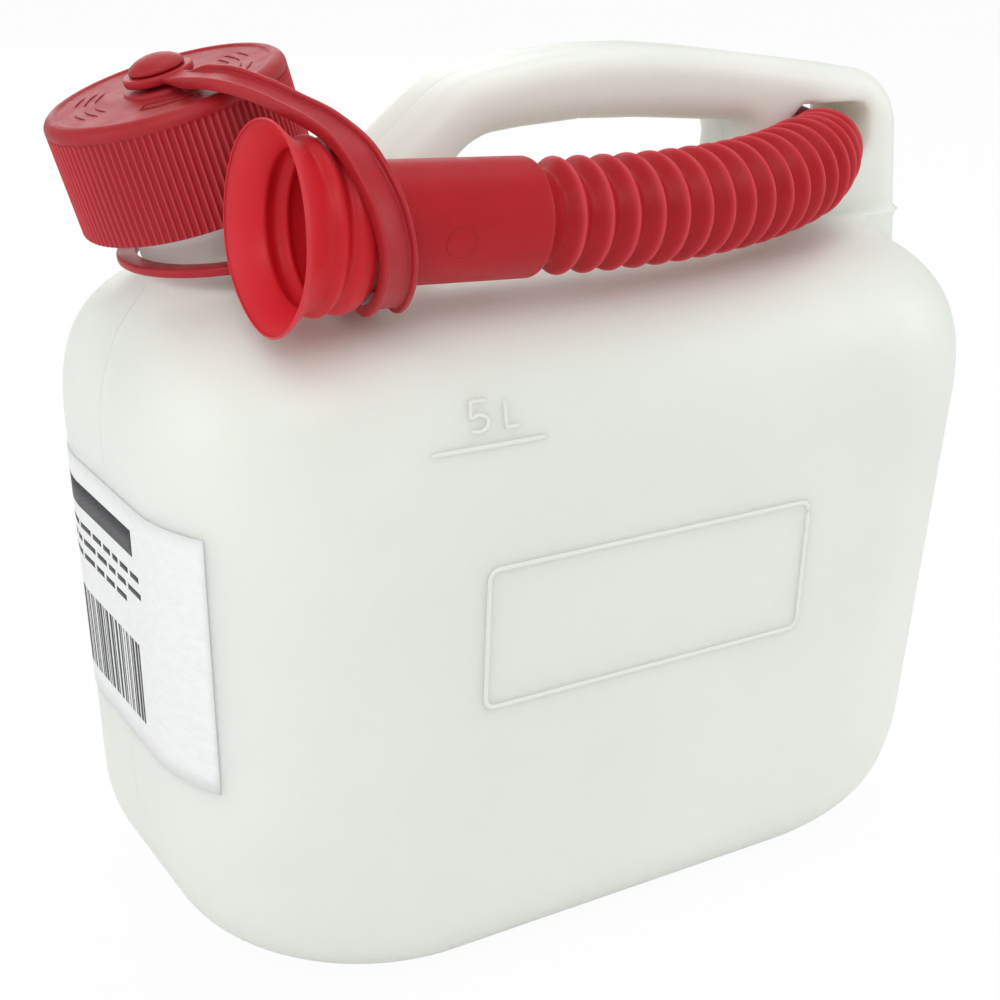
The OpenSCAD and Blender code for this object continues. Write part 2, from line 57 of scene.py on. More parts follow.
PANEL_X0, PANEL_X1, PANEL_Z0, PANEL_Z1, PANEL_R = -56.5, 50.5, 86, 126, 3
CORNER_R = 49.0
BASE_ROUND_X, BASE_ROUND_Y = 39.0, 23.0
SHOULDER_IN, SHOULDER_H, SHOULDER_POWER = 42.0, 45.0, 2.7
DRAFT_LEFT, DRAFT_RIGHT, DRAFT_SIDE = 0.037, 0.05, 0.028
STRAIGHT_Z = BODY_H - SHOULDER_H
LEFT_END, RIGHT_END = -BODY_L / 2, BODY_L / 2

# Handle
HANDLE_H, HANDLE_W, GRIP_T, HANDLE_ROUND = BODY_H + 54.5, 30.0, 20.7, 7.0
LEG_X = LEFT_END + 58
POST_X = RIGHT_END - 0.2
POST_TOP_X = POST_X - 5.1
OPENING_X0, OPENING_X1 = LEG_X + 36.7, POST_X - 64.4
OPENING_TOP = HANDLE_H - GRIP_T
FOOT_Z = BODY_H - 38
NOZZLE_R, NOZZLE_GAP, HOLE_ROOM, HOLE_ROUND = 8.0, 0.4, 2.2, 1.8
OPENING_ROUND = 7
HOLE_X1 = POST_TOP_X - 12.4
HOLE_X0 = HOLE_X1 - 34.4
HOLE_Z1 = HANDLE_H - 19.8
HOLE_Z0 = HOLE_Z1 - HOLE_ROOM - 2 * NOZZLE_R - 2 * NOZZLE_GAP

# Neck and cap, on the neck's own axis
NECK_TILT = math.radians(17.5)
NECK_AT = np.array([LEFT_END + 30.5, 0.0, BODY_H + 19])
NECK_AXIS = np.array([-math.sin(NECK_TILT), 0.0, math.cos(NECK_TILT)])
NECK_SIDE = np.array([math.cos(NECK_TILT), 0.0, math.sin(NECK_TILT)])
NECK_R, GROOVE_R, NECK_BORE, NECK_TOP = 24.0, 19.5, 20.0, 26.0
THREAD_PITCH, THREAD_START, THREAD_TURNS = 6.0, 7.0, 1.5
CAP_R, CAP_BORE, CAP_FACE_Z = 31.3, 26.7, 30.0
RIB_COUNT, RIB_DEPTH = 105, 0.75

# Spout
MOUTH_R, TUBE_R, TUBE_L, SPOUT_WALL = 25.3, 15.0, 69.6, 1.3
STRAIGHT_L = TUBE_L + 7.8
FOLD_R, FOLD_DEPTH, FOLD_COUNT, FIRST_CREST = 14.8, 3.4, 17, 0.7
CREST_SHARP = 0.985
NOZZLE_L, NOZZLE_REACH = 46.0, 22.5
NOZZLE_DIR = np.array([math.cos(math.radians(68)), math.sin(math.radians(68)), 0.0])
MOUTH_AT = NECK_AT + [-8, -CAP_R - MOUTH_R - 0.4, 3]
TUBE_DIR = np.array([STRAIGHT_L, -1.9, -3.1]) / np.linalg.norm([STRAIGHT_L, -1.9, -3.1])


def mesh_object(name, points, faces, smooth=True):
    """An object from points in millimetres and faces. Smooth ones are closed and face outward."""
    mesh = bpy.data.meshes.new(name)
    mesh.from_pydata((np.asarray(points) * MM).tolist(), [], [list(map(int, f)) for f in faces])
    mesh.validate()
    if smooth:
        shaped = bmesh.new()
        shaped.from_mesh(mesh)
        bmesh.ops.recalc_face_normals(shaped, faces=shaped.faces)
        shaped.to_mesh(mesh)
        shaped.free()
    mesh.polygons.foreach_set("use_smooth", [smooth] * len(mesh.polygons))
    mesh.update()
    made = bpy.data.objects.new(name, mesh)
    bpy.context.scene.collection.objects.link(made)
    return made


def ring_faces(rows, columns, start=0, closed_rows=False):
    """Quads between rings of points that lie row after row."""
    faces = []
    for r in range(rows if closed_rows else rows - 1):
        a, b = start + r * columns, start + ((r + 1) % rows) * columns
        for c in range(columns):
            d = (c + 1) % columns
            faces.append((a + c, a + d, b + d, b + c))
    return faces


class Parts:
    """Points and faces of several closed forms that become one object."""

    def __init__(self):
        self.points, self.faces, self.count = [], [], 0

    def add(self, points, faces):
        points = np.asarray(points, float)
        self.points.append(points)
        self.faces += [tuple(i + self.count for i in f) for f in faces]
        self.count += len(points)

    def rings(self, rings, capped=True, closed_rows=False):
        rings = np.asarray(rings, float)
        rows, columns = rings.shape[:2]
        faces = ring_faces(rows, columns, closed_rows=closed_rows)
        if capped and not closed_rows:
            faces += [tuple(range(columns))[::-1], tuple(range((rows - 1) * columns, rows * columns))]
        self.add(rings.reshape(-1, 3), faces)

    def object(self, name):
        return mesh_object(name, np.concatenate(self.points), self.faces)


def keep_share(piece, name, values):
    """Keeps a share from 0 to 1 with each point, which the red plastic reads for its painted highlights
    on crests and its painted light inside the spout's mouth.
    """
    share = piece.data.attributes.new(name, "FLOAT", "POINT")
    share.data.foreach_set("value", np.asarray(values, float).ravel())


def unit(v):
    v = np.asarray(v, float)
    return v / np.linalg.norm(v, axis=-1, keepdims=True)


def spline(points, steps):
    """A smooth curve through points, as rows of any width."""
    p = np.asarray(points, float)
    t = np.arange(steps)[:, None] / steps
    found = []
    for i in range(len(p) - 1):
        a, b, c, d = p[max(i - 1, 0)], p[i], p[i + 1], p[min(i + 2, len(p) - 1)]
        found.append(0.5 * (2 * b + (c - a) * t + (2 * a - 5 * b + 4 * c - d) * t ** 2
                            + (3 * b - a - 3 * c + d) * t ** 3))
    return np.concatenate(found + [p[-1:]])


def on_neck(points):
    """Points in the neck's own frame, brought to the can's frame."""
    p = np.asarray(points, float)
    return NECK_AT + p[..., :1] * NECK_SIDE + p[..., 1:2] * [0, 1, 0] + p[..., 2:3] * NECK_AXIS


# The canister's surface, as a distance field
def fillet_outline(corners):
    """An outline from corners of x, z and radius: each becomes an arc between its two sides."""
    found = []
    n = len(corners)
    for i in range(n):
        a, b, c = (np.array(corners[(i + k) % n][:2], float) for k in (-1, 0, 1))
        r = corners[i][2]
        u, v = unit(a - b), unit(c - b)
        half = math.acos(float(u @ v)) / 2
        middle = b + unit(u + v) * r / math.sin(half)
        start = b + u * r / math.tan(half) - middle
        side = np.sign(u[0] * v[1] - u[1] * v[0])
        turn = math.pi - 2 * half
        for angle in -side * turn * np.linspace(0, 1, max(3, math.ceil(math.degrees(turn) / 4))):
            found.append(middle + [start[0] * math.cos(angle) - start[1] * math.sin(angle),
                                   start[0] * math.sin(angle) + start[1] * math.cos(angle)])
    return np.array(found)


def polygon_distance(u, v, outline):
    """Distance to an outline in a plane, negative inside."""
    best = np.full(u.shape, np.inf)
    inside = np.zeros(u.shape, bool)
    for (ax, ay), (bx, by) in zip(outline, np.roll(outline, -1, 0)):
        ex, ey = bx - ax, by - ay
        t = np.clip(((u - ax) * ex + (v - ay) * ey) / (ex * ex + ey * ey), 0, 1)
        best = np.minimum(best, (u - ax - t * ex) ** 2 + (v - ay - t * ey) ** 2)
        if ay != by:
            inside ^= ((ay > v) != (by > v)) & (u < ax + (v - ay) * ex / ey)
    return np.where(inside, -1, 1) * np.sqrt(best)


def drawn_in(z, base_round):
    low = np.maximum(0, base_round ** 2 - (base_round - np.minimum(z, base_round)) ** 2)
    high = np.clip(1 - (np.maximum(0, z - STRAIGHT_Z) / SHOULDER_H) ** SHOULDER_POWER, 0, 1)
    return base_round - np.sqrt(low) + SHOULDER_IN * (1 - high ** (1 / SHOULDER_POWER))


def body_level(z):
    """Left end, right end, side and corner radius of the body at a height."""
    above = STRAIGHT_Z - np.minimum(z, STRAIGHT_Z)
    side = BODY_W / 2 - DRAFT_SIDE * above - drawn_in(z, BASE_ROUND_Y)
    return (LEFT_END + DRAFT_LEFT * above + drawn_in(z, BASE_ROUND_X),
            RIGHT_END - DRAFT_RIGHT * above - drawn_in(z, BASE_ROUND_X),
            side, np.minimum(CORNER_R, side - 2))


def in_level(x, y, z):
    x0, x1, side, r = body_level(z)
    qx = np.abs(x - (x0 + x1) / 2) - ((x1 - x0) / 2 - r)
    qy = np.abs(y) - (side - r)
    return np.hypot(np.maximum(qx, 0), np.maximum(qy, 0)) + np.minimum(np.maximum(qx, qy), 0) - r


def smooth_min(a, b, k):
    h = np.clip(0.5 + 0.5 * (b - a) / k, 0, 1)
    return b + (a - b) * h - k * h * (1 - h)


def rounded_slab(flat, y, half, r):
    a, b = flat + r, np.abs(y) - half + r
    return np.hypot(np.maximum(a, 0), np.maximum(b, 0)) + np.minimum(np.maximum(a, b), 0) - r


HANDLE_OUTLINE = fillet_outline([
    (LEG_X - 3, FOOT_Z, 12), (POST_X, FOOT_Z, 12), (POST_X, BODY_H - 6, 60),
    (POST_TOP_X - 0.3, HANDLE_H - 12.3, 21), (14.4, HANDLE_H + 2, 230),
    (LEG_X + 42.4, HANDLE_H - 7.8, 34), (LEG_X + 18.1, HANDLE_H - 28.3, 16)])
OPENING_OUTLINE = fillet_outline([
    (OPENING_X0, BODY_H - 8, 3), (OPENING_X1 - 2, BODY_H - 8, 3),
    (OPENING_X1 + 0.3, OPENING_TOP - 3.4, 6.5), (8, OPENING_TOP + 1.2, 220),
    (OPENING_X0 + 0.5, OPENING_TOP - 3.5, 20)])
HOLE_OUTLINE = fillet_outline([
    (HOLE_X0, HOLE_Z0, 5), (HOLE_X1, HOLE_Z0, 8), (HOLE_X1, HOLE_Z1, 6),
    (HOLE_X0 + 6.5, HOLE_Z1, 4), (HOLE_X0, HOLE_Z1 - 6.5, 4)])
NECK_OUTLINE = np.array([
    (-9, -26), (NECK_R + 7, -26), (NECK_R + 1.5, -20.5), (GROOVE_R + 1.5, -16), (GROOVE_R, -12),
    (GROOVE_R, -5.5), (NECK_R, -1), (NECK_R, NECK_TOP - 0.8), (NECK_R - 0.8, NECK_TOP), (-9, NECK_TOP)])


def handle_planes(x, z):
    outlines = (HANDLE_OUTLINE, OPENING_OUTLINE, HOLE_OUTLINE)
    return [polygon_distance(x, z, outline) for outline in outlines]


def can_field(x, y, z, planes=None):
    """Distance to the canister's outer surface, near it, negative inside."""
    step = 0.5
    slope = (in_level(x, y, z + step) - in_level(x, y, z - step)) / (2 * step)
    body = in_level(x, y, z) / np.sqrt(1 + slope ** 2)
    body = -smooth_min(-body, -np.maximum(z - BODY_H, -z), 2)
    outline, opening, hole = planes or handle_planes(x, z)
    half = HANDLE_W / 2
    handle = np.maximum(rounded_slab(outline, y, half, HANDLE_ROUND),
                        rounded_slab(-opening, y, half, OPENING_ROUND))
    handle = np.maximum(handle, rounded_slab(-hole, y, half, HOLE_ROUND))
    dx, dz = x - NECK_AT[0], z - NECK_AT[2]
    up = dx * NECK_AXIS[0] + dz * NECK_AXIS[2]
    around = np.hypot(dx * NECK_SIDE[0] + dz * NECK_SIDE[2], y)
    neck = polygon_distance(around, up, NECK_OUTLINE)
    whole = smooth_min(smooth_min(body, handle, 9), neck, 6)
    bore = np.maximum(around - NECK_BORE, 4 - up)
    return np.maximum(whole, -bore)


def surface_net(values, origin, step):
    """Points and quads of the zero surface of a grid of values."""
    cells = tuple(n - 1 for n in values.shape)
    total, count = np.zeros(cells + (3,)), np.zeros(cells)
    inside = values < 0
    for axis in range(3):
        b, c = [k for k in range(3) if k != axis]
        for ob in (0, 1):
            for oc in (0, 1):
                lo, hi = [None] * 3, [None] * 3
                for k, o in ((b, ob), (c, oc)):
                    lo[k] = hi[k] = slice(o, cells[k] + o)
                lo[axis], hi[axis] = slice(0, cells[axis]), slice(1, cells[axis] + 1)
                f0, f1 = values[tuple(lo)], values[tuple(hi)]
                cut = inside[tuple(lo)] != inside[tuple(hi)]
                share = np.where(cut, f0 / np.where(cut, f0 - f1, 1), 0)
                total[..., axis] += share
                total[..., b] += cut * ob
                total[..., c] += cut * oc
                count += cut
    used = count > 0
    number = np.full(cells, -1)
    number[used] = np.arange(used.sum())
    points = (np.argwhere(used) + total[used] / count[used][:, None]) * step + origin
    quads = []
    for axis in range(3):
        b, c = (axis + 1) % 3, (axis + 2) % 3
        lo, hi = [slice(1, -1)] * 3, [slice(1, -1)] * 3
        lo[axis], hi[axis] = slice(0, -1), slice(1, None)
        first, second = inside[tuple(lo)], inside[tuple(hi)]
        at = np.argwhere(first != second)
        out = first[first != second]
        at[:, b] += 1
        at[:, c] += 1
        corners = []
        for ob, oc in ((-1, -1), (0, -1), (0, 0), (-1, 0)):
            cell = at.copy()
            cell[:, b] += ob
            cell[:, c] += oc
            corners.append(number[tuple(cell.T)])
        quad = np.stack(corners, 1)
        quads.append(np.where(out[:, None], quad, quad[:, ::-1]))
    return points, np.concatenate(quads)


def make_canister():
    step = 1.7
    origin = np.array([-139.0, -77.1, -5.0])
    shape = (164, 92, 154)
    xs, ys, zs = (origin[k] + step * np.arange(shape[k]) for k in range(3))
    flat_x, flat_z = np.meshgrid(xs, zs, indexing="ij")
    planes = [p[:, None, :] for p in handle_planes(flat_x, flat_z)]
    x, y, z = np.meshgrid(xs, ys, zs, indexing="ij", sparse=True)
    points, quads = surface_net(can_field(x, y, z, planes), origin, step)
    reach = 0.05
    for _ in range(4):
        here = can_field(*points.T)
        slope = np.stack([
            (can_field(*(points + reach * e).T) - here) / reach for e in np.eye(3)], 1)
        steep = np.maximum((slope ** 2).sum(1), 0.05)
        points = points - slope * np.clip(here / steep, -1.2, 1.2)[:, None]
    return mesh_object("canister_skin", points, quads)


def make_neck_thread():
    parts = Parts()
    turn = np.linspace(0, 2 * np.pi * THREAD_TURNS, 90)
    ends = np.clip(np.minimum(turn, turn[-1] - turn) / 0.35, 0.02, 1)
    rings = []
    for out, up in ((-0.6, -1.7), (1.6, -0.75), (2.1, 0.0), (1.6, 0.75), (-0.6, 1.7)):
        r = NECK_R + np.where(out > 0, out * ends, out)
        rings.append(np.stack([r * np.cos(turn), r * np.sin(turn),
                               THREAD_START + THREAD_PITCH * turn / (2 * np.pi) + up], -1))
    parts.rings(on_neck(np.stack(rings, 1)[:, ::-1]))
    return parts.object("neck_thread")


# Raised marks
def bead(parts, path, place, width, height):
    """A half-round bead along a path in a plane. place maps path points and a height to space."""
    path = np.asarray(path, float)
    ahead = np.roll(path, -1, 0) - path
    ahead[-1] = ahead[-2]
    behind = np.roll(ahead, 1, 0)
    behind[0] = ahead[0]
    along = unit(unit(ahead) + unit(behind))
    across = np.stack([-along[:, 1], along[:, 0]], -1)
    turns = np.linspace(0, np.pi, 7)
    taper = np.ones(len(path))
    taper[[0, -1]] = 0.35
    rings = [place(path + across * (width / 2 * math.cos(a)) * taper[:, None],
                   height * math.sin(a) * taper - 0.12) for a in turns]
    parts.rings(np.stack(rings, 1))


def dense(path, spacing=1.5):
    path = np.asarray(path, float)
    found = []
    for a, b in zip(path[:-1], path[1:]):
        n = max(1, int(np.linalg.norm(b - a) / spacing))
        found += [a + (b - a) * i / n for i in range(n)]
    return np.array(found + [path[-1]])


def on_front(path, lift):
    z = path[:, 1]
    return np.stack([path[:, 0], -body_level(z)[2] - lift, z], -1)


def rounded_box_path(x0, x1, z0, z1, r):
    found = []
    for cx, cz, start in ((x1 - r, z1 - r, 0), (x0 + r, z1 - r, 90),
                          (x0 + r, z0 + r, 180), (x1 - r, z0 + r, 270)):
        for a in np.radians(start + np.linspace(0, 90, 7)):
            found.append((cx + r * math.cos(a), cz + r * math.sin(a)))
    found.append(found[0])
    return found


def make_front_marks():
    parts = Parts()
    x, z = LEFT_END + MARK_X, LEVEL_Z
    bead(parts, dense([(x, z - 5), (x + 34, z - 5)]), on_front, 1.3, 0.55)
    five = spline([(x + 17, z + 6.5), (x + 14.6, z + 6.5), (x + 12.5, z + 6.5), (x + 12.2, z + 4.6),
                   (x + 12.0, z + 2.7), (x + 14.4, z + 3.2), (x + 16.6, z + 2.2), (x + 16.6, z + 0.2),
                   (x + 14.6, z - 1.0), (x + 11.8, z - 0.6)], 4)
    bead(parts, five, on_front, 1.15, 0.5)
    bead(parts, dense([(x + 22, z + 6.5), (x + 22, z - 0.9), (x + 26.5, z - 0.9)]), on_front, 1.15, 0.5)
    panel = rounded_box_path(PANEL_X0, PANEL_X1, PANEL_Z0, PANEL_Z1, PANEL_R)
    bead(parts, dense(panel), on_front, 1.5, 0.55)
    return parts.object("front_marks")


# Cap
def make_cap():
    columns = RIB_COUNT * 8
    turn = np.linspace(0, 2 * np.pi, columns, endpoint=False)
    crest = (0.5 + 0.5 * np.cos(turn * RIB_COUNT)) ** 3
    groove = RIB_DEPTH * (1 - crest)
    rows = [
        (CAP_BORE - 0.2, 27.9, 0), (CAP_BORE, 27.2, 0), (CAP_BORE, 14, 0), (CAP_BORE, 0.6, 0),
        (CAP_BORE + 0.4, 0.1, 0), (CAP_R - 1.5, 0, 0), (CAP_R - 0.8, 0.05, 0.3),
        (CAP_R - 0.25, 0.35, 0.75), (CAP_R, 0.9, 1), (CAP_R, 7, 1), (CAP_R, 14, 1), (CAP_R, 21, 1),
        (CAP_R, 25.9, 1), (CAP_R, 26.5, 0.8), (CAP_R - 0.02, 26.9, 0.35), (CAP_R, 27.2, 0.05),
        (CAP_R + 0.02, 27.6, 0), (CAP_R - 0.05, 28.2, 0),
        (CAP_R - 0.3, 28.9, 0), (CAP_R - 0.8, 29.6, 0), (CAP_R - 1.5, 30.15, 0), (CAP_R - 2.2, 30.42, 0),
        (CAP_R - 2.9, 30.5, 0), (CAP_R - 3.3, 30.42, 0), (CAP_R - 3.6, 30.2, 0), (CAP_R - 3.8, 30.03, 0),
        (CAP_R - 4.2, CAP_FACE_Z, 0), (20, CAP_FACE_Z, 0), (10.2, CAP_FACE_Z, 0),
        (9.95, 30.08, 0), (9.85, 30.5, 0),
        (9.6, 30.8, 0), (9.2, 30.9, 0), (5.0, 30.9, 0), (4.6, 31.1, 0), (4.6, 33.9, 0), (4.9, 34.3, 0),
        (6.6, 34.35, 0), (7.1, 34.6, 0), (7.2, 35.0, 0), (6.9, 35.6, 0), (6.2, 36.3, 0), (5.0, 37.0, 0),
        (3.4, 37.55, 0), (1.6, 37.88, 0), (0.4, 37.95, 0)]
    rings = []
    for r, up, ribbed in rows:
        at = r - ribbed * groove
        rings.append(np.stack([at * np.cos(turn), at * np.sin(turn), np.full(columns, up)], -1))
    parts = Parts()
    rings = on_neck(np.array(rings))
    parts.rings(rings)
    piece = parts.object("cap_skin")
    # The rib crests get a paler red, a painted highlight along the crests.
    keep_share(piece, "painted_crest_highlight", [ribbed * crest ** 1.5 for _, _, ribbed in rows])
    return piece


def on_cap_top(path, lift):
    return on_neck(np.column_stack([path, CAP_FACE_Z + np.broadcast_to(lift, len(path))]))


def arc_path(r, start, end):
    a = np.radians(np.linspace(start, end, max(4, int(abs(end - start) / 4))))
    return np.column_stack([r * np.cos(a), r * np.sin(a)])


def make_cap_marks():
    """Turning arrows on both sides of the button, and short plain bars between them."""
    parts = Parts()
    for middle in (75, 255):
        for r in (15.2, 19.6):
            bead(parts, arc_path(r, middle - 24, middle + 16), on_cap_top, 0.9, 0.55)
        tip, back = math.radians(middle + 27), math.radians(middle + 16)
        head = np.array([(22.3 * math.cos(back), 22.3 * math.sin(back)),
                         (17.4 * math.cos(tip), 17.4 * math.sin(tip)),
                         (12.6 * math.cos(back), 12.6 * math.sin(back))])
        bead(parts, dense(head, 1.0), on_cap_top, 0.9, 0.55)
        tail = math.radians(middle - 24)
        bead(parts, dense([(15.2 * math.cos(tail), 15.2 * math.sin(tail)),
                           (19.6 * math.cos(tail), 19.6 * math.sin(tail))], 1.0), on_cap_top, 0.9, 0.55)
    for middle in (0, 180, 140, 325):
        for r, half in ((17.5, 13), (20.2, 15), (22.9, 11)):
            bead(parts, arc_path(r, middle - half, middle + half), on_cap_top, 0.7, 0.45)
    return parts.object("cap_marks")


# Retaining strap
EYE_Z, EYE_R = 33.1, 9.0
RING_AT = NECK_AT + [7.8, 0, -11.5]
RING_TILT = math.radians(8)
RING_R, RING_W, RING_T = 24.6, 5.2, 2.4
STRAP_W, STRAP_T, FLANGE_H, FLANGE_T = 9.5, 1.5, 3.0, 1.3


def on_cap(out, along):
    return NECK_AT + NECK_AXIS * EYE_Z + NECK_SIDE * [along, 0, along] + np.array([0.0, -out, 0.0])


def by_socket(x, out, angle):
    a = math.radians(angle)
    return MOUTH_AT + TUBE_DIR * (x / TUBE_DIR[0]) + out * np.array([0, -math.cos(a), math.sin(a)])


# Middle of the band, its outer side, its width and how far its flanges have risen
STRAP_ROUTE = [
    (on_cap(EYE_R - 1.6, 0.6), NECK_AXIS, 6.2, 0.05),
    (on_cap(13, 1), NECK_AXIS, 6.8, 0.1),
    (on_cap(20, 2.4), NECK_AXIS, STRAP_W, 1),
    (on_cap(31, 4.6), (-0.25, -0.05, 0.96), STRAP_W, 1),
    (by_socket(7, 33.4, 121), (-0.1, -0.15, 0.98), STRAP_W, 1),
    (by_socket(10.7, 28, 109), (0.05, -0.35, 0.93), STRAP_W, 1),
    (by_socket(14.7, 23.6, 88), (0.1, -0.55, 0.83), STRAP_W, 1),
    (by_socket(17, 22.6, 57), (0.15, -0.8, 0.58), STRAP_W, 1),
    (by_socket(19.7, 22, 27), (0.2, -0.93, 0.3), STRAP_W, 1),
    (by_socket(21.8, 21.6, 4), (0.25, -0.97, 0), STRAP_W, 1),
    (by_socket(23.4, 20.8, -16), (0.22, -0.9, -0.35), STRAP_W, 1),
    (by_socket(25, 19.8, -42), (0.1, -0.66, -0.75), STRAP_W, 1),
    (by_socket(27.8, 19.3, -80), (0, -0.2, -0.98), STRAP_W, 1),
    (by_socket(29.6, 19, -116), (0, 0.12, -0.98), STRAP_W, 1),
    (RING_AT + [RING_R - 8.2, -RING_R - 9.4, 0.6], (0, 0.3, -0.95), STRAP_W, 0.8),
    (RING_AT + [RING_R - 11.6, -RING_R - 1.1, 1.2], (0.14, 0.1, -0.98), STRAP_W - 2.6, 0.3)]


def tilted_ring(at, tilt, profile, columns):
    turn = np.linspace(0, 2 * np.pi, columns, endpoint=False)
    side = np.array([math.cos(tilt), 0, math.sin(tilt)])
    axis = np.array([-math.sin(tilt), 0, math.cos(tilt)])
    rings = [at + r * (np.cos(turn)[:, None] * side + np.sin(turn)[:, None] * [0, 1, 0]) + up * axis
             for r, up in profile]
    return np.array(rings)


def rounded_section(r0, r1, thick, edge):
    """A closed section of a flat ring with rounded edges, as radius and height."""
    found = []
    half = thick / 2
    for cr, cz, start in ((r1 - edge, half - edge, 0), (r0 + edge, half - edge, 90),
                          (r0 + edge, edge - half, 180), (r1 - edge, edge - half, 270)):
        for a in np.radians(start + np.array([0, 30, 60, 90])):
            found.append((cr + edge * math.cos(a), cz + edge * math.sin(a)))
    return found[::-1]


def make_strap():
    rows = np.array([[*p, *unit(o), w, f] for p, o, w, f in STRAP_ROUTE])
    rows = spline(rows, 10)
    middles, outs, widths, risen = rows[:, :3], rows[:, 3:6], rows[:, 6], rows[:, 7]
    along = unit(np.gradient(middles, axis=0))
    across = unit(np.cross(outs, along))
    out = np.cross(along, across)
    rings = []
    for m, ac, ou, w, f in zip(middles, across, out, widths, np.clip(risen, 0.03, 1)):
        half, low, high = w / 2, -STRAP_T / 2, STRAP_T / 2
        rise = high + (FLANGE_H - STRAP_T) * f
        inner, soft = half - FLANGE_T, 0.42 * f + 0.02
        section = [(-half, low + 0.4), (-half + 0.12, low + 0.12), (-half + 0.4, low), (half - 0.4, low),
                   (half - 0.12, low + 0.12), (half, low + 0.4),
                   (half, rise - 0.45), (half - 0.15, rise - 0.13), (half - 0.48, rise),
                   (inner + 0.45, rise), (inner + 0.13, rise - 0.12 * f), (inner, rise - soft),
                   (inner, high + soft), (inner - 0.12, high + 0.12 * f), (inner - 0.5, high),
                   (0.5 - inner, high), (0.12 - inner, high + 0.12 * f), (-inner, high + soft),
                   (-inner, rise - soft), (-inner - 0.13, rise - 0.12 * f), (-inner - 0.45, rise),
                   (-half + 0.48, rise), (-half + 0.15, rise - 0.13), (-half, rise - 0.45)]
        rings.append([m + ac * a + ou * b for a, b in section])
    parts = Parts()
    parts.rings(np.array(rings)[:, ::-1])
    ring = tilted_ring(RING_AT, RING_TILT, rounded_section(RING_R, RING_R + RING_W, RING_T, 0.7), 120)
    parts.rings(ring, closed_rows=True)
    eye = tilted_ring(NECK_AT + NECK_AXIS * EYE_Z, NECK_TILT, rounded_section(5.0, EYE_R, 2.2, 0.6), 72)
    parts.rings(eye, closed_rows=True)
    return parts.object("strap_skin")


# Flexible spout
def spout_route():
    """Points along the spout's middle, with their distance from the mouth."""
    bend_start = MOUTH_AT + STRAIGHT_L * TUBE_DIR
    nozzle_mid = np.array([(HOLE_X0 + HOLE_X1) / 2, 0, HOLE_Z0 + NOZZLE_GAP + NOZZLE_R])
    root = nozzle_mid - NOZZLE_REACH * NOZZLE_DIR
    lead = 0.68 * np.linalg.norm(root - bend_start)
    p = [bend_start, bend_start + lead * TUBE_DIR, root - 4.5 * NOZZLE_DIR, root]
    t = np.linspace(0, 1, 401)[:, None]
    hose = (1 - t) ** 3 * p[0] + 3 * (1 - t) ** 2 * t * p[1] + 3 * (1 - t) * t * t * p[2] + t ** 3 * p[3]
    before = bend_start - np.linspace(STRAIGHT_L + 5, 0.2, 200)[:, None] * TUBE_DIR
    after = root + np.linspace(0.2, NOZZLE_L + 5, 100)[:, None] * NOZZLE_DIR
    points = np.concatenate([before, hose, after])
    at = np.concatenate([[0], np.cumsum(np.linalg.norm(np.diff(points, axis=0), axis=1))]) - 5
    length = np.linalg.norm(np.diff(hose, axis=0), axis=1).sum()
    return points, at, length


SPOUT_POINTS, SPOUT_AT, HOSE_L = spout_route()


def spout_point(s):
    return np.stack([np.interp(s, SPOUT_AT, SPOUT_POINTS[:, k]) for k in range(3)], -1)


def spout_frame(s):
    along = unit(spout_point(s + 2.5) - spout_point(s - 2.5))
    side = unit(np.cross([0, 0, 1], along))
    return spout_point(s), side, np.cross(along, side)


MOUTH_PROFILE = [
    (0, MOUTH_R - 0.25), (0.35, MOUTH_R), (1.0, MOUTH_R - 0.35), (2.2, MOUTH_R - 1.5),
    (3.8, 22.4), (5.8, 20.9), (7.6, 19.9), (8.5, 19.9), (9.5, 20.55), (10.5, 21.0),
    (11.3, 20.95), (12.2, 20.4), (13.1, 19.5), (13.9, 19.4), (14.8, 20.1),
    (15.7, 20.55), (17.2, 20.6), (18.8, 20.3), (20.2, 19.3), (21.6, 18.1), (23.6, 16.6),
    (25.6, 15.6), (26.6, 15.5), (27.1, 15.95), (28, 16.1), (28.8, 15.95), (29.3, 15.4), (29.9, TUBE_R),
    (45, TUBE_R), (60, TUBE_R), (TUBE_L - 2.2, TUBE_R), (TUBE_L - 0.8, TUBE_R - 0.08),
    (TUBE_L - 0.1, TUBE_R - 0.5), (TUBE_L + 0.5, TUBE_R - 1.6),
    (TUBE_L + 1.2, FOLD_R - FOLD_DEPTH + 0.4)]


def fold_radius(s):
    """Radius of the folded hose: straight flanks between rounded crests and valleys."""
    pitch = HOSE_L / FOLD_COUNT
    phase = (s - STRAIGHT_L - FIRST_CREST) / pitch
    wave = 0.5 + np.arcsin(CREST_SHARP * np.cos(2 * np.pi * phase)) / (2 * math.asin(CREST_SHARP))
    return FOLD_R - 0.8 * np.maximum(0, phase - FOLD_COUNT + 4) - FOLD_DEPTH * (1 - wave)


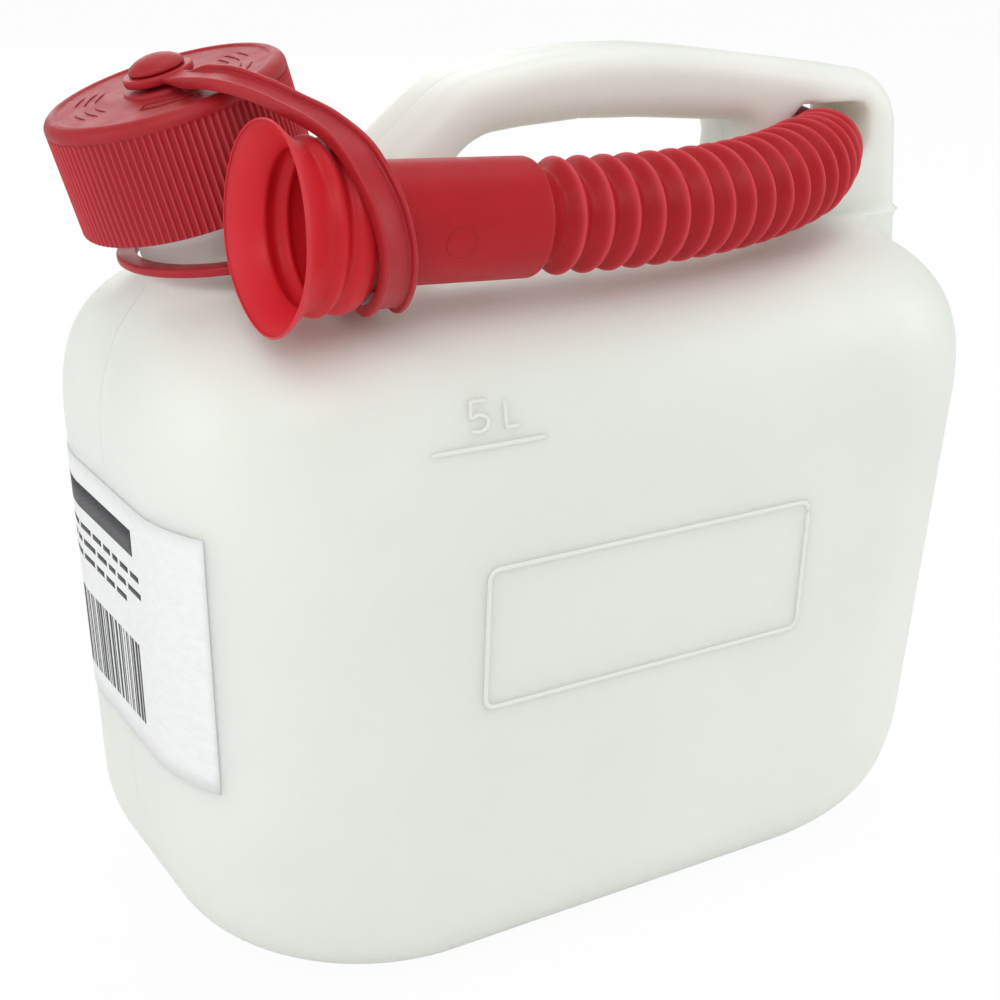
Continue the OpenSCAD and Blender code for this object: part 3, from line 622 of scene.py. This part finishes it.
def make_spout():
    columns = 72
    turn = np.linspace(0, 2 * np.pi, columns, endpoint=False)
    mouth = spline(MOUTH_PROFILE, 3)
    end = STRAIGHT_L + HOSE_L
    pitch = HOSE_L / FOLD_COUNT
    folds_s = STRAIGHT_L + FIRST_CREST + np.arange(-0.6, FOLD_COUNT - 0.5, 1 / 12) * pitch
    folds = np.column_stack([folds_s, fold_radius(folds_s)])
    tip = end + NOZZLE_L
    nozzle = spline([(end - 1.8, 10.0), (end + 1.2, 10.2), (end + 2.8, 9.4), (end + 4.2, 8.5),
                     (end + 6, NOZZLE_R), (end + 20, NOZZLE_R), (tip - 1.2, NOZZLE_R),
                     (tip - 0.4, NOZZLE_R - 0.15), (tip, NOZZLE_R - 0.6)], 3)
    outer = np.concatenate([mouth, folds, nozzle])
    thin = np.interp(outer[:, 0], [0, 1, 4, 1e3], [0.5, 0.9, SPOUT_WALL, SPOUT_WALL])
    inner = np.column_stack([outer[:, 0] + 0.1, outer[:, 1] - thin])[::-1]
    rings = []
    for s, r in np.concatenate([outer, inner]):
        middle, side, up = spout_frame(s)
        flare = math.exp(-s / 3.0)
        wave = 0.3 * flare * (np.cos(3 * turn + 0.6) + 0.6 * np.cos(5 * turn + 2.0)) - 0.35 * flare
        rr = (r + wave)[:, None]
        rings.append(middle + rr * (np.cos(turn)[:, None] * side + np.sin(turn)[:, None] * up))
    parts = Parts()
    parts.rings(np.array(rings)[:, ::-1], closed_rows=True)
    piece = parts.object("spout_skin")
    outside = np.arange(len(outer) + len(inner)) < len(outer)
    at = np.concatenate([outer, inner])[:, 0]
    phase = (at - STRAIGHT_L - FIRST_CREST) / pitch
    from_crest = np.abs(phase - np.round(phase))
    on_hose = outside & (phase > -0.5) & (phase < FOLD_COUNT - 0.4)
    # Painted highlight: a paler red along each fold's crest and around the mouth's rim.
    crest_highlight_share = on_hose * np.exp(-(from_crest / 0.09) ** 2) + 0.55 * np.exp(-(at / 2.2) ** 2)
    keep_share(piece, "painted_crest_highlight", np.repeat(crest_highlight_share, columns))
    # Painted light: a brighter red inside the spout's mouth, a little less on its outside, fading out
    # from 18 to 30 mm along the spout.
    mouth_light_share = np.where(outside, 0.6, 1.0) * np.clip((30 - at) / 12, 0, 1)
    keep_share(piece, "painted_mouth_light", np.repeat(mouth_light_share, columns))
    return piece


def make_tube_mark():
    """A faint round witness mark on the tube's front."""
    def place(path, lift):
        middle, side, up = spout_frame(path[:, 0])
        a = path[:, 1] / TUBE_R
        out = np.cos(a)[:, None] * side + np.sin(a)[:, None] * up
        return middle + (TUBE_R + lift)[:, None] * out
    parts = Parts()
    a = np.linspace(0, 2 * np.pi, 40)
    around = TUBE_R * math.radians(190)
    bead(parts, np.column_stack([44 + 4 * np.cos(a), around + 4 * np.sin(a)]), place, 0.5, 0.22)
    return parts.object("tube_mark")


# Label
LABEL_TOP, LABEL_H, LABEL_L = STRAIGHT_Z - 9.5, 72.5, 105.0
LABEL_STRAIGHT = CORNER_R * 0.48
LABEL_RIGHT = LABEL_STRAIGHT + CORNER_R * math.radians(32)


def label_place(path, lift):
    """Path points are the distance left of the label's right edge and the height over its lower edge."""
    u = LABEL_RIGHT - path[:, 0]
    z = LABEL_TOP - LABEL_H + path[:, 1]
    x0, _, side, r = body_level(z)
    v, hand = np.abs(u), np.where(u < 0, -1, 1)
    angle = np.maximum(v - LABEL_STRAIGHT, 0) / r
    flat = v < LABEL_STRAIGHT
    x = np.where(flat, x0 - lift, x0 + r - (r + lift) * np.cos(angle))
    y = np.where(flat, (r - side) * v / LABEL_STRAIGHT, r - side - (r + lift) * np.sin(angle))
    return np.stack([x, y * hand, z], -1)


def label_patch(parts, x0, x1, z0, z1, low, high, cell=2.0):
    """A thin closed patch of the label's surface."""
    nu, nv = max(1, round((x1 - x0) / cell)), max(1, round((z1 - z0) / (cell * 3)))
    u, v = np.meshgrid(np.linspace(x0, x1, nu + 1), np.linspace(z0, z1, nv + 1), indexing="ij")
    path = np.column_stack([u.ravel(), v.ravel()])
    sheets = [label_place(path, np.full(len(path), lift)) for lift in (low, high)]
    n, faces = len(path), []
    at = lambda i, j: i * (nv + 1) + j
    for i in range(nu):
        for j in range(nv):
            quad = (at(i, j), at(i + 1, j), at(i + 1, j + 1), at(i, j + 1))
            faces += [tuple(n + k for k in quad[::-1]), quad]
    rim = ([at(i, 0) for i in range(nu)] + [at(nu, j) for j in range(nv)]
           + [at(i, nv) for i in range(nu, 0, -1)] + [at(0, j) for j in range(nv, 0, -1)])
    for a, b in zip(rim, rim[1:] + rim[:1]):
        faces.append((a, n + a, n + b, b))
    parts.add(np.concatenate(sheets), faces)


def make_label():
    parts = Parts()
    label_patch(parts, 0, LABEL_L, 0, LABEL_H, 0.05, 0.33)
    return parts.object("label_skin")


def make_label_print():
    """Plain bars of several lengths, and a row of upright stripes."""
    parts = Parts()
    rng = np.random.default_rng(5)
    low, high = 0.3, 0.37
    label_patch(parts, 33, 88, 58, 65.5, low, high)
    for row, length in enumerate((52, 60, 44)):
        z = 51.5 - row * 4.6
        x = 88.0
        while x > 88 - length:
            word = float(rng.uniform(4, 10))
            label_patch(parts, max(x - word, 27), x, z, z + 1.7, low, high)
            x -= word + 1.8
    x = 34.0
    while x < 86:
        bar = float(rng.choice([0.5, 0.8, 1.2, 1.7]))
        label_patch(parts, x, x + bar, 8, 32, low, high)
        x += bar + float(rng.choice([0.6, 1.0, 1.5]))
    return parts.object("label_print")


# Materials
def material(name, color, roughness, **settings):
    made = bpy.data.materials.new(name)
    made.use_nodes = True
    shader = made.node_tree.nodes["Principled BSDF"]
    shader.inputs["Base Color"].default_value = (*color, 1)
    shader.inputs["Roughness"].default_value = roughness
    for key, value in settings.items():
        shader.inputs[key.replace("_", " ")].default_value = value
    return made


class Nodes:
    """Short names for building a material's nodes."""

    def __init__(self, made):
        self.tree = made.node_tree
        self.shader = self.tree.nodes["Principled BSDF"]
        self.place = self.tree.nodes.new("ShaderNodeTexCoord").outputs["Object"]

    def link(self, a, b):
        self.tree.links.new(a, b)

    def noise(self, scale, detail=3.0, rough=0.5, stretch=None):
        node = self.tree.nodes.new("ShaderNodeTexNoise")
        node.inputs["Scale"].default_value = scale
        node.inputs["Detail"].default_value = detail
        node.inputs["Roughness"].default_value = rough
        source = self.place
        if stretch:
            mapping = self.tree.nodes.new("ShaderNodeMapping")
            mapping.inputs["Scale"].default_value = stretch
            self.link(source, mapping.inputs["Vector"])
            source = mapping.outputs["Vector"]
        self.link(source, node.inputs["Vector"])
        return node.outputs["Fac"]

    def share(self, name):
        node = self.tree.nodes.new("ShaderNodeAttribute")
        node.attribute_name = name
        return node.outputs["Fac"]

    def ramp(self, value, low, high, start, end):
        node = self.tree.nodes.new("ShaderNodeMapRange")
        for key, number in (("From Min", start), ("From Max", end), ("To Min", low), ("To Max", high)):
            node.inputs[key].default_value = number
        self.link(value, node.inputs["Value"])
        return node.outputs["Result"]

    def math(self, kind, a, b):
        node = self.tree.nodes.new("ShaderNodeMath")
        node.operation = kind
        for slot, value in zip(node.inputs, (a, b)):
            if isinstance(value, (int, float)):
                slot.default_value = value
            else:
                self.link(value, slot)
        return node.outputs[0]

    def mix(self, share, a, b):
        node = self.tree.nodes.new("ShaderNodeMix")
        node.data_type = "RGBA"
        self.link(share, node.inputs[0])
        for slot, value in ((node.inputs[6], a), (node.inputs[7], b)):
            if isinstance(value, tuple):
                slot.default_value = (*value, 1)
            else:
                self.link(value, slot)
        return node.outputs[2]

    def bumps(self, *layers):
        """Each layer is a height and the distance in metres that it stands for."""
        normal = None
        for height, distance in layers:
            node = self.tree.nodes.new("ShaderNodeBump")
            node.inputs["Distance"].default_value = distance
            self.link(height, node.inputs["Height"])
            if normal is not None:
                self.link(normal, node.inputs["Normal"])
            normal = node.outputs["Normal"]
        self.link(normal, self.shader.inputs["Normal"])


def milky_plastic():
    made = material("milky_plastic", (0.80, 0.83, 0.78), 0.38, Subsurface_Weight=0.75,
                    Subsurface_Scale=0.012, Specular_IOR_Level=0.45)
    made.node_tree.nodes["Principled BSDF"].inputs["Subsurface Radius"].default_value = (1.0, 0.95, 0.8)
    n = Nodes(made)
    cloud = n.ramp(n.noise(9, 4, 0.55), 0, 1, 0.35, 0.7)
    n.link(n.mix(cloud, (0.775, 0.81, 0.755), (0.83, 0.85, 0.80)), n.shader.inputs["Base Color"])
    n.link(n.ramp(n.noise(35, 4), 0.33, 0.45, 0.3, 0.7), n.shader.inputs["Roughness"])
    split = n.tree.nodes.new("ShaderNodeSeparateXYZ")
    n.link(n.place, split.inputs[0])
    seam = n.ramp(n.math("ABSOLUTE", split.outputs["Y"], 0), 1, 0, 0.0001, 0.0007)
    n.bumps((n.noise(14, 2), 0.0011), (n.noise(900, 2), 0.00003), (seam, 0.0002))
    return made


def milky_mark_plastic():
    """The canister's colour for its thin raised marks, too thin to scatter light inside."""
    made = material("milky_mark_plastic", (0.80, 0.83, 0.78), 0.4, Specular_IOR_Level=0.45)
    n = Nodes(made)
    n.link(n.mix(n.noise(9, 4, 0.55), (0.77, 0.80, 0.75), (0.83, 0.85, 0.80)),
           n.shader.inputs["Base Color"])
    n.bumps((n.noise(900, 2), 0.00003))
    return made


def red_plastic(name, color, rough, grain, depth, painted_highlight_color=(0.6, 0.06, 0.08), translucent=0.2,
                gloss=0.3):
    made = material(name, color, rough, Subsurface_Weight=translucent, Subsurface_Scale=0.003,
                    Specular_IOR_Level=gloss)
    made.node_tree.nodes["Principled BSDF"].inputs["Subsurface Radius"].default_value = (1.0, 0.12, 0.12)
    n = Nodes(made)
    patch = n.ramp(n.noise(60, 4, 0.6), 0, 1, 0.3, 0.7)
    deep = tuple(c * 0.9 for c in color)
    # A brighter red inside the spout's mouth is painted light.
    lit = n.mix(n.share("painted_mouth_light"), n.mix(patch, deep, color), (0.66, 0.018, 0.03))
    # A paler red on the crests of the hose folds, the mouth's rim and the cap's ribs is a painted
    # highlight.
    n.link(n.mix(n.share("painted_crest_highlight"), lit, painted_highlight_color), n.shader.inputs["Base Color"])
    n.link(n.ramp(n.noise(180, 4), rough - 0.05, rough + 0.07, 0.3, 0.7), n.shader.inputs["Roughness"])
    n.bumps((n.noise(grain, 3, 0.6), depth))
    return made


def label_paper():
    made = material("label_paper", (0.86, 0.87, 0.87), 0.5, Specular_IOR_Level=0.4)
    n = Nodes(made)
    fibre = n.noise(260, 6, 0.65, stretch=(1, 1, 2.5))
    n.link(n.mix(n.ramp(fibre, 0, 1, 0.35, 0.65), (0.84, 0.85, 0.85), (0.89, 0.9, 0.9)),
           n.shader.inputs["Base Color"])
    n.bumps((fibre, 0.00004))
    return made


def ink():
    made = material("ink", (0.03, 0.03, 0.035), 0.5)
    n = Nodes(made)
    worn = n.ramp(n.noise(1400, 4), 0, 1, 0.42, 0.62)
    n.link(n.mix(worn, (0.02, 0.02, 0.025), (0.07, 0.07, 0.075)), n.shader.inputs["Base Color"])
    n.bumps((n.noise(1200, 3), 0.00002))
    return made


def foam():
    made = material("seal_foam", (0.82, 0.81, 0.77), 0.8)
    n = Nodes(made)
    n.link(n.mix(n.noise(900, 4), (0.76, 0.75, 0.7), (0.86, 0.85, 0.81)), n.shader.inputs["Base Color"])
    n.bumps((n.noise(1500, 4), 0.0001))
    return made


def dress(piece, body, slot, paint, *nodes):
    piece.data.materials.clear()
    piece.data.materials.append(paint)
    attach(piece, body)
    if nodes:
        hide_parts(*nodes)
    return piece


# Stage
CAMERA_AT = (-264.5, -409.2, 294.9)
CAMERA_YAW_PITCH_ROLL = (31.95, 20.65, 1.3)
FOCAL_PX, PHOTO_PX, SENSOR_MM = 1686.5, 1000, 36
# Name, place and diameter in metres, and power in watts
LAMPS = [
    ("key", (-1.0, -1.3, 1.5), 1.3, 11.5), ("top", (0.3, 0.2, 2.0), 1.5, 8),
    ("fill", (1.5, -0.9, 0.7), 1.2, 6), ("left", (-1.7, 0.1, 0.6), 1.0, 4.5),
    ("back", (0.5, 2.1, 1.0), 1.6, 8)]
LAMP_AIM = (0, 0, 0.12)
FLOOR_HALF = 30.0
FLOOR_WHITE, SKY_LIGHT = 0.95, 0.58


def add_camera():
    yaw, pitch, roll = map(math.radians, CAMERA_YAW_PITCH_ROLL)
    level = math.cos(pitch)
    forward = Vector((math.sin(yaw) * level, math.cos(yaw) * level, -math.sin(pitch)))
    right = Vector((math.cos(yaw), -math.sin(yaw), 0))
    up = right.cross(forward)
    level_right = math.cos(roll) * right + math.sin(roll) * up
    level_up = math.cos(roll) * up - math.sin(roll) * right
    data = bpy.data.cameras.new("camera")
    data.sensor_width = SENSOR_MM
    data.lens = SENSOR_MM * FOCAL_PX / PHOTO_PX
    data.clip_start, data.clip_end = 0.02, 100
    made = bpy.data.objects.new("camera", data)
    bpy.context.scene.collection.objects.link(made)
    pose = Matrix((level_right, level_up, -forward)).transposed().to_4x4()
    pose.translation = Vector(CAMERA_AT) * MM
    made.matrix_world = pose
    bpy.context.scene.camera = made


def add_lamp(name, place, size, power):
    data = bpy.data.lights.new(name, "AREA")
    data.shape, data.size, data.energy = "DISK", size, power
    made = bpy.data.objects.new(name, data)
    bpy.context.scene.collection.objects.link(made)
    made.location = place
    aim = Vector(LAMP_AIM) - Vector(place)
    made.rotation_mode = "QUATERNION"
    made.rotation_quaternion = aim.to_track_quat("-Z", "Y")


def add_stage():
    corners = [(-1, -1, 0), (1, -1, 0), (1, 1, 0), (-1, 1, 0)]
    floor = mesh_object("floor", FLOOR_HALF * np.array(corners) / MM, [(0, 1, 2, 3)], smooth=False)
    paint = bpy.data.materials.new("floor_white")
    paint.use_nodes = True
    tree = paint.node_tree
    tree.nodes.clear()
    seen = tree.nodes.new("ShaderNodeLightPath")
    diffuse = tree.nodes.new("ShaderNodeBsdfDiffuse")
    diffuse.inputs["Color"].default_value = (0.9, 0.9, 0.9, 1)
    glow = tree.nodes.new("ShaderNodeEmission")
    glow.inputs["Color"].default_value = (1, 1, 1, 1)
    share = tree.nodes.new("ShaderNodeMath")
    share.operation = "MULTIPLY"
    share.inputs[1].default_value = FLOOR_WHITE
    either = tree.nodes.new("ShaderNodeMath")
    either.operation = "MAXIMUM"
    blend = tree.nodes.new("ShaderNodeMixShader")
    output = tree.nodes.new("ShaderNodeOutputMaterial")
    tree.links.new(seen.outputs["Is Camera Ray"], either.inputs[0])
    tree.links.new(seen.outputs["Is Transmission Ray"], either.inputs[1])
    tree.links.new(either.outputs[0], share.inputs[0])
    tree.links.new(share.outputs[0], blend.inputs[0])
    tree.links.new(diffuse.outputs[0], blend.inputs[1])
    tree.links.new(glow.outputs[0], blend.inputs[2])
    tree.links.new(blend.outputs[0], output.inputs[0])
    floor.data.materials.append(paint)

    world = bpy.data.worlds.new("studio")
    bpy.context.scene.world = world
    world.use_nodes = True
    tree = world.node_tree
    tree.nodes.clear()
    seen = tree.nodes.new("ShaderNodeLightPath")
    soft = tree.nodes.new("ShaderNodeBackground")
    soft.inputs["Color"].default_value = (1, 1, 1, 1)
    soft.inputs["Strength"].default_value = SKY_LIGHT
    white = tree.nodes.new("ShaderNodeBackground")
    white.inputs["Color"].default_value = (1, 1, 1, 1)
    white.inputs["Strength"].default_value = 1.0
    blend = tree.nodes.new("ShaderNodeMixShader")
    output = tree.nodes.new("ShaderNodeOutputWorld")
    tree.links.new(seen.outputs["Is Camera Ray"], blend.inputs[0])
    tree.links.new(soft.outputs[0], blend.inputs[1])
    tree.links.new(white.outputs[0], blend.inputs[2])
    tree.links.new(blend.outputs[0], output.inputs[0])

    for lamp in LAMPS:
        add_lamp(*lamp)


scene = bpy.context.scene
scene.view_settings.view_transform = "Standard"
add_camera()
add_stage()

milky = milky_plastic()
red = red_plastic("red_plastic", (0.43, 0.016, 0.024), 0.4, 1300, 0.00005)
red_cap = red_plastic("red_cap_plastic", (0.40, 0.014, 0.02), 0.42, 1800, 0.00012)
# The cap's raised marks take a darker red than the cap, a painted shade along the raised lines.
red_mark_painted_shade = red_plastic("red_mark_plastic_painted_shade", (0.31, 0.01, 0.015), 0.45, 1800, 0.00005)
red_hose = red_plastic("red_hose_plastic", (0.44, 0.01, 0.016), 0.42, 1500, 0.00003,
                       painted_highlight_color=(0.6, 0.05, 0.07), translucent=0.3, gloss=0.2)

dress(make_canister(), "can", "canister", milky, "canister")
milky_mark = milky_mark_plastic()
dress(make_neck_thread(), "can", "canister", milky_mark)
dress(make_front_marks(), "can", "canister", milky_mark)
dress(make_cap(), "cap", "cap", red_cap, "cap")
dress(make_cap_marks(), "cap", "cap", red_mark_painted_shade)
dress(make_spout(), "can", "flexible_spout", red_hose, "flexible_spout")
dress(make_tube_mark(), "can", "flexible_spout", red_hose)
dress(make_label(), "can", "label", label_paper(), "label")
dress(make_label_print(), "can", "label", ink())
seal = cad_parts["cap_seal"]
seal.data.materials.clear()
seal.data.materials.append(foam())

strap = make_strap()
strap.data.materials.append(red)
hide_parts("retaining_strap")
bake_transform(strap)
